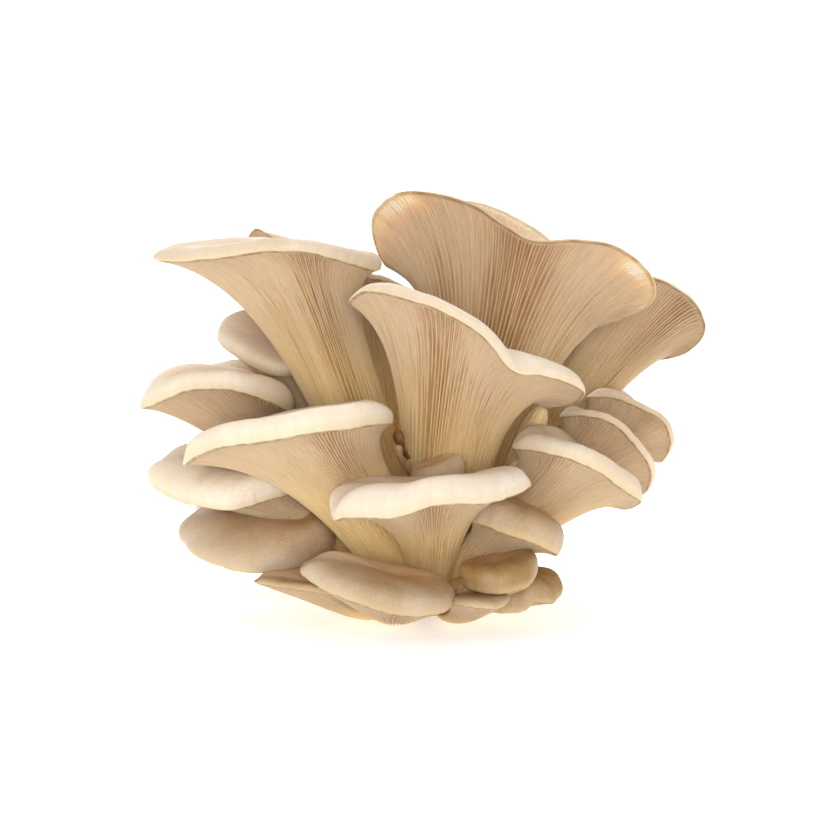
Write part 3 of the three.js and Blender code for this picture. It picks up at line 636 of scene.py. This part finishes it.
def fruit_body_mesh(body, seed, sizes):
    """Vertices in metres, faces, and the masks that the finish reads."""
    grade = GRADES[body["grade"]]
    columns = grade["gills"] * grade["fine"]
    rng = np.random.default_rng(seed)
    form = Form(body, columns, sizes.rim_waver / MM, seed)

    gill_rows = np.concatenate([np.linspace(*GILL_ROWS, grade["rows"]), LAST_GILL_ROWS])
    # The top's rows lie closer together near the lip
    top_rows = np.linspace(0, 1, grade["top_rows"] + 1)[1:-1] ** 1.2
    top_rows = LIP_ROWS[-1] + (1.0 - LIP_ROWS[-1]) * top_rows

    # Underside and lip, with the gaps sunk in and the margin rounded
    under = np.stack([form.under(s) for s in gill_rows])
    along = np.gradient(under, axis=0)
    across = np.roll(under, -1, 1) - np.roll(under, 1, 1)
    outward = unit(np.cross(across, along))
    # height is a mask of painted shade down between the gills
    drop, height = gill_shape(form, grade, gill_rows, under, sizes.gill_depth / MM, rng)
    under = under - drop[..., None] * outward
    lip = np.stack([form.over(t) for t in LIP_ROWS])
    lines = np.concatenate([under, lip])
    rim_row = len(gill_rows)
    walk = np.linalg.norm(np.diff(lines, axis=0), axis=2).mean(1)
    stand = np.concatenate([[0], np.cumsum(walk)])
    near = 1.0 - smoothstep(*ROUNDED, np.abs(stand - stand[rim_row]))
    lines = relax(lines, near, ROUNDINGS)

    # Stem and top
    coarse = np.arange(0, columns, COARSE_STEP)
    stem = np.stack([form.under(s)[coarse] for s in STEM_ROWS])
    top = np.stack([form.over(t)[coarse] for t in top_rows])
    wobble = np.zeros(len(coarse))
    turn = form.turn[coarse]
    for waves in TOP_WAVES:
        wobble += rng.uniform(0.3, 1.0) * np.sin(waves * turn + rng.uniform(0, 6.3)) / waves
    fade = np.sin(math.pi * top_rows)[:, None]
    top = top + (TOP_WOBBLE * fade * wobble)[..., None] * form.normal
    middle = form.hub + body["flesh"] * form.normal

    points = [form.root[None], *stem, *lines, *top, middle[None]]
    offsets = np.cumsum([0] + [len(block) for block in points])
    rings = [np.arange(a, b) for a, b in zip(offsets[:-1], offsets[1:])]
    stems = rings[1 : 1 + len(stem)]
    fines = rings[1 + len(stem) : 1 + len(stem) + len(lines)]
    tops = rings[1 + len(stem) + len(lines) : -1]
    bottom, summit = rings[0][0], rings[-1][0]
    faces = [[bottom, b, a] for a, b in zip(stems[0], np.roll(stems[0], -1))]
    for low, high in zip(stems[:-1], stems[1:]):
        faces += quads(low, high).tolist()
    faces += fan_in(fines[0], stems[-1], COARSE_STEP, True)
    for low, high in zip(fines[:-1], fines[1:]):
        faces += quads(low, high).tolist()
    faces += fan_in(fines[-1], tops[0], COARSE_STEP, False)
    for low, high in zip(tops[:-1], tops[1:]):
        faces += quads(low, high).tolist()
    faces += [[a, b, summit] for a, b in zip(tops[-1], np.roll(tops[-1], -1))]

    # One block of values for each block of points: root, stem, gills and lip, top, middle
    plain_stem, plain_top = np.ones(stem.shape[0] * len(coarse)), np.ones(top.shape[0] * len(coarse))
    fine_gap_shade = np.concatenate([height, np.ones((len(lip), columns))]).ravel()
    # ridge is the painted shade down between the gills, 1 where there is none
    ridge = np.concatenate([[1.0], plain_stem, fine_gap_shade, plain_top, [1.0]])
    stem_reach = np.repeat(STEM_ROWS, len(coarse))
    fine_reach = np.repeat(np.concatenate([gill_rows, 1.0 + LIP_ROWS]), columns)
    top_reach = np.repeat(1.0 + top_rows, len(coarse))
    reach = np.concatenate([[0.0], stem_reach, fine_reach, top_reach, [2.0]])
    turns = [np.tile(turn, len(stem)), np.tile(form.turn, len(lines)), np.tile(turn, len(top))]
    all_turns = np.concatenate([[0.0], *turns, [0.0]])
    fan = np.column_stack([np.cos(all_turns), np.sin(all_turns), 0.25 * reach])
    return np.vstack(points) * MM, faces, {"ridge": ridge, "reach": reach, "fan": fan}


def young_bud_mesh(bud):
    """A swept stalk that swells to a rounded head."""
    path = seen(bud["path"])
    knots = np.linspace(0, 1, len(path))
    share = np.linspace(0, 1, BUD_RINGS)
    centre = np.column_stack([np.polyval(np.polyfit(knots, path[:, k], 2), share) for k in range(3)])
    into_head = ((share - HEAD_STARTS) / (1.0 - HEAD_STARTS)).clip(0)
    thick = np.interp(share, knots, bud["radii"])
    thick = thick * np.sqrt(np.clip(1.0 - into_head**4, 0.0, 1.0))
    along = unit(np.gradient(centre, axis=0))
    side = unit(np.cross(along, [0.0, 1.0, 0.0]))
    front = np.cross(side, along)
    turn = np.arange(BUD_SIDES) * 2 * math.pi / BUD_SIDES
    ridged = 1.0 + 0.04 * np.cos(5 * turn) + 0.03 * np.cos(9 * turn + 1.0)
    spread = (thick[:-1, None] * ridged)[..., None]
    tube = centre[:-1, None] + spread * (
        side[:-1, None] * np.cos(turn)[:, None] + front[:-1, None] * np.sin(turn)[:, None]
    )
    points = np.vstack([centre[:1], tube.reshape(-1, 3), centre[-1:]])
    faces = capped_tube(BUD_RINGS - 1, BUD_SIDES)
    turns = np.concatenate([[0.0], np.tile(turn, BUD_RINGS - 1), [0.0]])
    lengths = np.concatenate([[0.0], np.repeat(share[:-1], BUD_SIDES), [1.0]])
    fan = np.column_stack([0.2 * np.cos(turns), 0.2 * np.sin(turns), 0.1 * lengths])
    return points * MM, faces, {"fan": fan, "dry": np.full(len(points), bud["dry"])}


def add_piece(name, points, faces, masks, material, nodes):
    """Adds one piece that stands in for the given nodes, with its masks as attributes."""
    mesh = bpy.data.meshes.new(name)
    mesh.from_pydata(points.tolist(), [], faces)
    for mask, values in masks.items():
        if values.ndim == 2:
            layer = mesh.attributes.new(mask, "FLOAT_VECTOR", "POINT")
            layer.data.foreach_set("vector", values.astype(np.float32).ravel())
        else:
            layer = mesh.attributes.new(mask, "FLOAT", "POINT")
            layer.data.foreach_set("value", values.astype(np.float32))
    mesh.materials.append(material)
    mesh.shade_smooth()
    mesh.validate()
    mesh.update()
    piece = bpy.data.objects.new(name, mesh)
    bpy.context.scene.collection.objects.link(piece)
    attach(piece, "root")
    if nodes:
        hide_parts(*nodes)


# Finishes


def add_number(group, name, side, value=0.0):
    """A named input or output of a node group."""
    socket = group.interface.new_socket(name=name, in_out=side, socket_type="NodeSocketFloat")
    socket.default_value = value


class Wiring:
    """Adds nodes to a tree and links them."""

    def __init__(self, tree):
        self.tree = tree

    def add(self, kind, **values):
        node = self.tree.nodes.new(kind)
        for key, value in values.items():
            setattr(node, key, value)
        return node

    def link(self, start, end):
        self.tree.links.new(start, end)

    def math(self, operation, first, second, clamp=False):
        node = self.add("ShaderNodeMath", operation=operation, use_clamp=clamp)
        for socket, value in zip(node.inputs, (first, second)):
            if isinstance(value, float):
                socket.default_value = value
            else:
                self.link(value, socket)
        return node.outputs[0]

    def ramp(self, value, low, high, to_low=0.0, to_high=1.0):
        node = self.add("ShaderNodeMapRange", interpolation_type="SMOOTHSTEP")
        node.inputs["From Min"].default_value = low
        node.inputs["From Max"].default_value = high
        node.inputs["To Min"].default_value = to_low
        node.inputs["To Max"].default_value = to_high
        self.link(value, node.inputs["Value"])
        return node.outputs["Result"]

    def mix(self, share, first, second):
        node = self.add("ShaderNodeMix", data_type="RGBA")
        # A mix node lists its number sockets before those for colours
        for socket, value in ((node.inputs[6], first), (node.inputs[7], second)):
            if isinstance(value, Color):
                socket.default_value = (*value, 1.0)
            else:
                self.link(value, socket)
        self.link(share, node.inputs[0])
        return node.outputs[2]

    def attribute(self, name):
        return self.add("ShaderNodeAttribute", attribute_name=name)

    def group(self, group, *values):
        """Places a group with its inputs' values, and gives its outputs."""
        node = self.add("ShaderNodeGroup")
        node.node_tree = group
        for socket, value in zip(node.inputs, values):
            socket.default_value = value
        return list(node.outputs)


def mottle_group():
    """Soft blotches of two sizes, as on any flesh that grew."""
    group = bpy.data.node_groups.new("mottle", "ShaderNodeTree")
    add_number(group, "Size", "INPUT", 60.0)
    add_number(group, "Speckle Size", "INPUT", 600.0)
    add_number(group, "Blotches", "OUTPUT")
    add_number(group, "Speckle", "OUTPUT")
    w = Wiring(group)
    into = w.add("NodeGroupInput")
    out = w.add("NodeGroupOutput")
    place = w.add("ShaderNodeTexCoord")
    for size, output, detail in (("Size", "Blotches", 3.0), ("Speckle Size", "Speckle", 2.0)):
        noise = w.add("ShaderNodeTexNoise")
        noise.inputs["Detail"].default_value = detail
        w.link(place.outputs["Object"], noise.inputs["Vector"])
        w.link(into.outputs[size], noise.inputs["Scale"])
        w.link(w.ramp(noise.outputs["Fac"], 0.3, 0.7), out.inputs[output])
    return group


def fibre_group():
    """Fine streaks that run from root to rim, from the fan coordinate."""
    group = bpy.data.node_groups.new("fibres", "ShaderNodeTree")
    add_number(group, "Fineness", "INPUT", 40.0)
    add_number(group, "Streaks", "OUTPUT")
    w = Wiring(group)
    into = w.add("NodeGroupInput")
    out = w.add("NodeGroupOutput")
    noise = w.add("ShaderNodeTexNoise")
    noise.inputs["Detail"].default_value = 3.0
    w.link(w.attribute("fan").outputs["Vector"], noise.inputs["Vector"])
    w.link(into.outputs["Fineness"], noise.inputs["Scale"])
    w.link(w.ramp(noise.outputs["Fac"], 0.3, 0.7), out.inputs["Streaks"])
    return group


def flesh_like(name, roughness, subsurface):
    """A new material for flesh that lets light in, the wiring of its nodes, and its shader."""
    material = bpy.data.materials.new(name)
    material.use_nodes = True
    shader = material.node_tree.nodes["Principled BSDF"]
    shader.inputs["Subsurface Weight"].default_value = subsurface
    shader.inputs["Subsurface Radius"].default_value = (1.0, 0.62, 0.4)
    shader.inputs["Subsurface Scale"].default_value = 0.002
    shader.inputs["Roughness"].default_value = roughness
    shader.inputs["Specular IOR Level"].default_value = 0.35
    return material, Wiring(material.node_tree), shader


def add_bump(w, shader, height, strength, distance):
    """Small relief: height is a mask, and distance is how high it stands in metres where that is 1."""
    bump = w.add("ShaderNodeBump")
    bump.inputs["Strength"].default_value = strength
    bump.inputs["Distance"].default_value = distance
    w.link(height, bump.inputs["Height"])
    w.link(bump.outputs["Normal"], shader.inputs["Normal"])


def flesh_material(colours, mottle, fibres):
    """Mushroom flesh: light brown stem and gills with painted shade deep down between the gills, a
    pale cap above.
    """
    material, w, shader = flesh_like("mushroom_skin", 0.62, 0.35)
    reach = w.attribute("reach").outputs["Fac"]
    ridge = w.attribute("ridge").outputs["Fac"]
    tan = w.attribute("tan").outputs["Fac"]
    blotches, speckle = w.group(mottle, 55.0, 900.0)
    streaks = w.group(fibres, 42.0)[0]
    broad = w.group(fibres, 9.0)[0]

    # Underside: stem to gills to margin, with painted shade down between the gills
    edges = w.mix(w.ramp(reach, 0.3, 0.72), colours.stem, colours.gill)
    edges = w.mix(w.ramp(reach, 0.7, 0.98), edges, colours.gill_outer)
    edges = w.mix(w.math("MULTIPLY", broad, 0.4), edges, colours.gill_warm)
    # Gap colours: painted shade down between the gills, laid where the ridge mask is low
    gaps = w.mix(w.ramp(reach, 0.35, 0.95), colours.gap, colours.gap_shade_outer)
    below = w.mix(w.ramp(ridge, 0.0, 0.85), gaps, edges)
    below = w.mix(w.math("MULTIPLY", streaks, 0.22), below, colours.stem)

    # Top: pale cream, browner in blotches, and browner on caps in shadow and at the middle, partly as
    # their own colour and partly as painted shade
    above = w.mix(w.math("MULTIPLY", blotches, 0.6), colours.cap_pale, colours.cap)
    above = w.mix(w.math("MULTIPLY", broad, 0.3), above, colours.cap_warm)
    rays = w.math("MULTIPLY", w.math("SUBTRACT", streaks, 0.5), 0.12)
    patches = w.math("MULTIPLY", w.math("SUBTRACT", blotches, 0.5), 0.3)
    # Each cap's browning: its own colour together with painted shade on caps that lie in shadow, a
    # little heavier towards the middle
    tanned = w.math("MULTIPLY", tan, w.ramp(reach, 1.0, 1.4, 0.85, 1.0))
    tanned = w.math("ADD", tanned, w.math("MULTIPLY", tanned, w.math("ADD", rays, patches)))
    above = w.mix(w.math("MAXIMUM", tanned, 0.0, clamp=True), above, colours.cap_tan)
    # Browner towards the middle: partly the cap's own colour, partly painted shade near the stem
    above = w.mix(w.ramp(reach, 1.2, 1.95, 0.0, 0.45), above, colours.cap_centre_and_shade)
    above = w.mix(w.ramp(reach, 1.0, 1.12, 0.5, 0.0), above, colours.band)

    skin = w.mix(w.ramp(reach, 0.985, 1.01), below, above)
    margin = w.math("MULTIPLY", w.ramp(reach, 0.978, 0.992), w.ramp(reach, 0.997, 1.012, 1.0, 0.0))
    broken = w.ramp(broad, 0.0, 1.0, 0.45, 0.8)
    skin = w.mix(w.math("MULTIPLY", margin, broken), skin, colours.margin)
    # Browner near the root: the stem's own colour there, and painted shade deep in among the stems
    foot = w.ramp(reach, 0.0, 0.3, 0.55, 0.0)
    skin = w.mix(foot, skin, colours.foot)
    w.link(skin, shader.inputs["Base Color"])
    w.link(w.ramp(blotches, 0.0, 1.0, 0.52, 0.7), shader.inputs["Roughness"])

    under = w.ramp(reach, 0.97, 1.0, 1.0, 0.0)
    grain = w.math("MULTIPLY", speckle, 0.45)
    lines = w.math("MULTIPLY", w.math("MULTIPLY", streaks, under), 0.6)
    add_bump(w, shader, w.math("ADD", grain, lines), 0.35, 0.0006)
    return material


def bud_material(colours, mottle, fibres):
    """Pale, streaked skin, which turns brown where a bud has dried."""
    material, w, shader = flesh_like("bud_skin", 0.66, 0.2)
    blotches, speckle = w.group(mottle, 300.0, 1200.0)
    streaks = w.group(fibres, 30.0)[0]
    skin = w.mix(w.math("MULTIPLY", streaks, 0.6), colours.stem, colours.gill_warm)
    dry = w.mix(w.math("MULTIPLY", blotches, 0.5), colours.dried, colours.gap)
    skin = w.mix(w.attribute("dry").outputs["Fac"], skin, dry)
    w.link(skin, shader.inputs["Base Color"])
    w.link(w.ramp(speckle, 0.0, 1.0, 0.6, 0.8), shader.inputs["Roughness"])
    relief = w.math("ADD", speckle, streaks)
    add_bump(w, shader, relief, 0.4, 0.0005)
    return material


def butt_material(colours, mottle, fibres):
    """The butt's torn, fibrous skin, with browner blotches and streaks."""
    material, w, shader = flesh_like("butt_skin", 0.8, 0.12)
    blotches, speckle = w.group(mottle, 140.0, 900.0)
    streaks = w.group(fibres, 14.0)[0]
    skin = w.mix(blotches, colours.stem, colours.foot)
    skin = w.mix(w.math("MULTIPLY", streaks, 0.4), skin, colours.gap)
    w.link(skin, shader.inputs["Base Color"])
    w.link(w.ramp(speckle, 0.0, 1.0, 0.7, 0.92), shader.inputs["Roughness"])
    relief = w.math("ADD", blotches, streaks)
    add_bump(w, shader, relief, 0.6, 0.001)
    return material


def finish_of(name, colours):
    """The material of that name, made on its first use."""
    made = bpy.data.materials.get(name)
    if made:
        return made
    mottle = bpy.data.node_groups.get("mottle") or mottle_group()
    fibres = bpy.data.node_groups.get("fibres") or fibre_group()
    makers = {"mushroom_skin": flesh_material, "bud_skin": bud_material, "butt_skin": butt_material}
    return makers[name](colours, mottle, fibres)


# Properties


def colour(name, description, red, green, blue):
    """A colour property, from its display values of 0 to 255."""
    linear = []
    for level in (red, green, blue):
        share = level / 255
        linear.append(share / 12.92 if share <= 0.04045 else ((share + 0.055) / 1.055) ** 2.4)
    return bpy.props.FloatVectorProperty(
        name=name, description=description, subtype="COLOR", size=3, min=0, max=1, default=linear
    )


def length(name, description, default):
    """A length property, in metres."""
    return bpy.props.FloatProperty(
        name=name, description=description, default=default, unit="LENGTH", precision=5
    )


class ClusterSizes(bpy.types.PropertyGroup):
    gill_depth: length("Gill depth", "How far the gaps between gills go in", 0.0011)
    rim_waver: length("Rim waver", "How far a cap's margin strays up and down", 0.00035)
    butt_radius: length("Butt radius", "Radius of the cut foot", 0.023)
    butt_height: length("Butt height", "Height of the cut foot", 0.030)


class ClusterColours(bpy.types.PropertyGroup):
    cap_pale: colour("Pale cap", "The cap where it is palest", 228, 217, 203)
    cap: colour("Cap", "The cap in its blotches", 220, 203, 178)
    # Brown of the cap: its own colour, and painted shade on caps that lie in shadow
    cap_tan: colour("Tan cap", "The cap where it is tannest", 156, 122, 74)
    cap_warm: colour("Warm cap", "The cap in its broad rays", 216, 196, 160)
    # The cap's middle: partly its own colour, partly painted shade near the stem
    cap_centre_and_shade: colour("Cap's middle", "The cap over its stem", 190, 138, 88)
    band: colour("Margin band", "The thin, see-through band above the margin", 206, 182, 134)
    margin: colour("Margin", "The line under the margin", 122, 102, 74)
    gill: colour("Gill edges", "The gills' edges", 192, 168, 141)
    gill_outer: colour("Outer gill edges", "The gills' edges near the margin", 178, 156, 132)
    gill_warm: colour("Warm gill edges", "The gills' edges in warmer strips", 197, 168, 130)
    # Painted shade down between the gills; the first is also the plain brown of dried buds and the
    # butt's streaks
    gap: colour("Gaps", "Down between the gills", 177, 136, 90)
    gap_shade_outer: colour("Outer gaps", "Down between the gills near the margin", 150, 108, 72)
    stem: colour("Stem", "The stem", 236, 206, 148)
    dried: colour("Dried", "A bud that has dried", 96, 58, 30)
    # Also painted shade deep in among the stems, near the root; on the butt, its plain blotches
    foot: colour("Foot", "Where the stem meets the butt", 214, 178, 122)


# Operators

CLUSTER_OPTIONS = {"REGISTER", "UNDO"}


class CLUSTER_OT_fruit_bodies(bpy.types.Operator):
    """Makes every fruit body, with its gills, in place of its solid"""

    bl_idname = "cluster.fruit_bodies"
    bl_label = "Fruit Bodies"
    bl_options = CLUSTER_OPTIONS

    def execute(self, context):
        sizes = context.scene.cluster_sizes
        flesh = finish_of("mushroom_skin", context.scene.cluster_colours)
        for seed, body in enumerate(FRUIT_BODIES):
            points, faces, masks = fruit_body_mesh(body, FIRST_SEED + seed, sizes)
            # Each cap's browning: its own colour, and painted shade on caps that lie in shadow
            masks["tan"] = np.full(len(points), body["tan"])
            piece, node = "fruit_body_" + body["name"], "mushroom_" + body["name"]
            add_piece(piece, points, faces, masks, flesh, [node])
        return {"FINISHED"}


class CLUSTER_OT_young_buds(bpy.types.Operator):
    """Makes the few buds that stopped growing among the stems"""

    bl_idname = "cluster.young_buds"
    bl_label = "Young Buds"
    bl_options = CLUSTER_OPTIONS

    def execute(self, context):
        skin = finish_of("bud_skin", context.scene.cluster_colours)
        for bud in YOUNG_BUDS:
            points, faces, masks = young_bud_mesh(bud)
            add_piece(bud["name"], points, faces, masks, skin, [])
        return {"FINISHED"}


class CLUSTER_OT_butt(bpy.types.Operator):
    """Makes the cut foot that the fruit bodies grow from"""

    bl_idname = "cluster.butt"
    bl_label = "Butt"
    bl_options = CLUSTER_OPTIONS

    def execute(self, context):
        sizes = context.scene.cluster_sizes
        turn = np.arange(BUTT_SIDES) * 2 * math.pi / BUTT_SIDES
        rings = []
        for wide, high in BUTT_PROFILE:
            # Broad lumps, and small knobs everywhere but at the cut face
            lump = 1 + 0.06 * np.cos(3 * turn + 0.6) + 0.035 * np.cos(5 * turn + 2 * high)
            knobs = 0.012 * np.sin(11 * turn + 9 * high) + 0.008 * np.sin(23 * turn - 12 * high)
            radius = sizes.butt_radius * wide * (lump + knobs * smoothstep(0.0, 0.1, high))
            height = np.full(BUTT_SIDES, high * sizes.butt_height)
            rings.append(np.column_stack([radius * np.cos(turn), radius * np.sin(turn), height]))
        points = np.vstack([[[0, 0, 0]], *rings, [[0, 0, sizes.butt_height]]])
        faces = capped_tube(len(rings), BUTT_SIDES)
        turns = np.concatenate([[0.0], np.tile(turn, len(rings)), [0.0]])
        heights = points[:, 2] / sizes.butt_height
        masks = {"fan": np.column_stack([np.cos(turns), np.sin(turns), 0.4 * heights])}
        finish = finish_of("butt_skin", context.scene.cluster_colours)
        add_piece("butt_foot", points, faces, masks, finish, ["butt"])
        return {"FINISHED"}


# The floor and backdrop's profile from front to back, in metres
SWEEP = {"half_width": 4.0, "near": -3.0, "far": 0.9, "turn": 1.2, "top": 3.0, "steps": 24}

# Each light's place, aim, size across, power in watts and tint
CLUSTER_MIDDLE = (0.0, -0.02, 0.06)
LIGHTS = {
    "key": ((-0.6, -0.7, 0.8), CLUSTER_MIDDLE, 0.9, 2.2, (1.0, 0.99, 0.975)),
    "front": ((0.0, -1.2, 0.16), CLUSTER_MIDDLE, 0.5, 6.0, (1.0, 0.985, 0.97)),
    "left": ((-1.0, -0.5, 0.14), CLUSTER_MIDDLE, 0.5, 1.5, (1.0, 0.98, 0.96)),
    "right": ((1.0, -0.55, 0.2), CLUSTER_MIDDLE, 0.5, 1.1, (1.0, 0.98, 0.96)),
    "back": ((0.2, 0.7, 0.8), CLUSTER_MIDDLE, 0.5, 1.6, (1.0, 1.0, 1.0)),
    "wall": ((0.0, 0.4, 1.9), (0.0, 1.9, 0.6), 1.6, 40.0, (1.0, 1.0, 1.0)),
}


def area_light(name, place, aim, size, power, tint):
    """Adds a round light that faces its aim."""
    light = bpy.data.lights.new(name, "AREA")
    light.shape = "DISK"
    light.size = size
    light.energy = power
    light.color = tint
    lamp = bpy.data.objects.new(name, light)
    lamp.location = place
    lamp.rotation_euler = (Vector(aim) - Vector(place)).to_track_quat("-Z", "Y").to_euler()
    bpy.context.scene.collection.objects.link(lamp)


def paper_sweep():
    """A level floor, then a wide quarter turn up into a wall."""
    profile = [(SWEEP["near"], 0.0)]
    for k in range(SWEEP["steps"] + 1):
        angle = math.pi / 2 * k / SWEEP["steps"]
        out, up = SWEEP["turn"] * math.sin(angle), SWEEP["turn"] * (1 - math.cos(angle))
        profile.append((SWEEP["far"] + out, up))
    profile.append((SWEEP["far"] + SWEEP["turn"], SWEEP["top"]))
    corners = [(side * SWEEP["half_width"], y, z) for y, z in profile for side in (-1, 1)]
    strips = [[2 * k, 2 * k + 1, 2 * k + 3, 2 * k + 2] for k in range(len(profile) - 1)]
    mesh = bpy.data.meshes.new("floor")
    mesh.from_pydata(corners, [], strips)
    mesh.shade_smooth()
    return mesh


class CLUSTER_OT_stage(bpy.types.Operator):
    """Makes the floor, the backdrop, the lights and the camera"""

    bl_idname = "cluster.stage"
    bl_label = "Stage"
    bl_options = CLUSTER_OPTIONS

    def execute(self, context):
        scene = context.scene
        mesh = paper_sweep()
        paper = bpy.data.materials.new("floor_paper")
        paper.use_nodes = True
        shader = paper.node_tree.nodes["Principled BSDF"]
        shader.inputs["Base Color"].default_value = (0.95, 0.95, 0.945, 1)
        shader.inputs["Roughness"].default_value = 0.9
        shader.inputs["Emission Color"].default_value = (1, 1, 1, 1)
        shader.inputs["Emission Strength"].default_value = 0.5
        mesh.materials.append(paper)
        floor = bpy.data.objects.new("floor", mesh)
        scene.collection.objects.link(floor)

        world = bpy.data.worlds.new("studio")
        world.use_nodes = True
        sky = world.node_tree.nodes["Background"]
        sky.inputs["Color"].default_value = (1.0, 0.995, 0.985, 1)
        sky.inputs["Strength"].default_value = 0.37
        scene.world = world

        for name, light in LIGHTS.items():
            area_light(name, *light)
        scene.view_settings.view_transform = "Standard"

        target = Vector((VIEW_MIDDLE["across"], FRONT_DEPTH, VIEW_MIDDLE["height"])) * MM
        back = Vector((0, -math.cos(VIEW_PITCH), math.sin(VIEW_PITCH)))
        lens = bpy.data.cameras.new("camera")
        lens.sensor_width = SENSOR_MM
        lens.lens = FOCAL_PIXELS / IMAGE_SIDE * SENSOR_MM
        lens.clip_start = 0.05
        camera = bpy.data.objects.new("camera", lens)
        camera.location = target + back * VIEW_DISTANCE * MM
        camera.rotation_euler = (-back).to_track_quat("-Z", "Y").to_euler()
        scene.collection.objects.link(camera)
        scene.camera = camera
        return {"FINISHED"}


OPERATORS = (CLUSTER_OT_stage, CLUSTER_OT_butt, CLUSTER_OT_fruit_bodies, CLUSTER_OT_young_buds)


class CLUSTER_PT_panel(bpy.types.Panel):
    bl_idname = "CLUSTER_PT_panel"
    bl_label = "Oyster Mushroom Cluster"
    bl_space_type = "VIEW_3D"
    bl_region_type = "UI"
    bl_category = "Mushrooms"

    def draw(self, context):
        layout = self.layout
        for group in (context.scene.cluster_sizes, context.scene.cluster_colours):
            for name in group.__annotations__:
                layout.prop(group, name)
        for operator in OPERATORS:
            layout.operator(operator.bl_idname)


CLASSES = (ClusterSizes, ClusterColours, *OPERATORS, CLUSTER_PT_panel)


def register():
    for cls in CLASSES:
        bpy.utils.register_class(cls)
    bpy.types.Scene.cluster_sizes = bpy.props.PointerProperty(type=ClusterSizes)
    bpy.types.Scene.cluster_colours = bpy.props.PointerProperty(type=ClusterColours)


def unregister():
    del bpy.types.Scene.cluster_colours
    del bpy.types.Scene.cluster_sizes
    for cls in reversed(CLASSES):
        bpy.utils.unregister_class(cls)


def main():
    register()
    bpy.ops.cluster.stage()
    bpy.ops.cluster.butt()
    bpy.ops.cluster.fruit_bodies()
    bpy.ops.cluster.young_buds()
    bpy.context.view_layer.update()


if __name__ == "__main__":
    main()
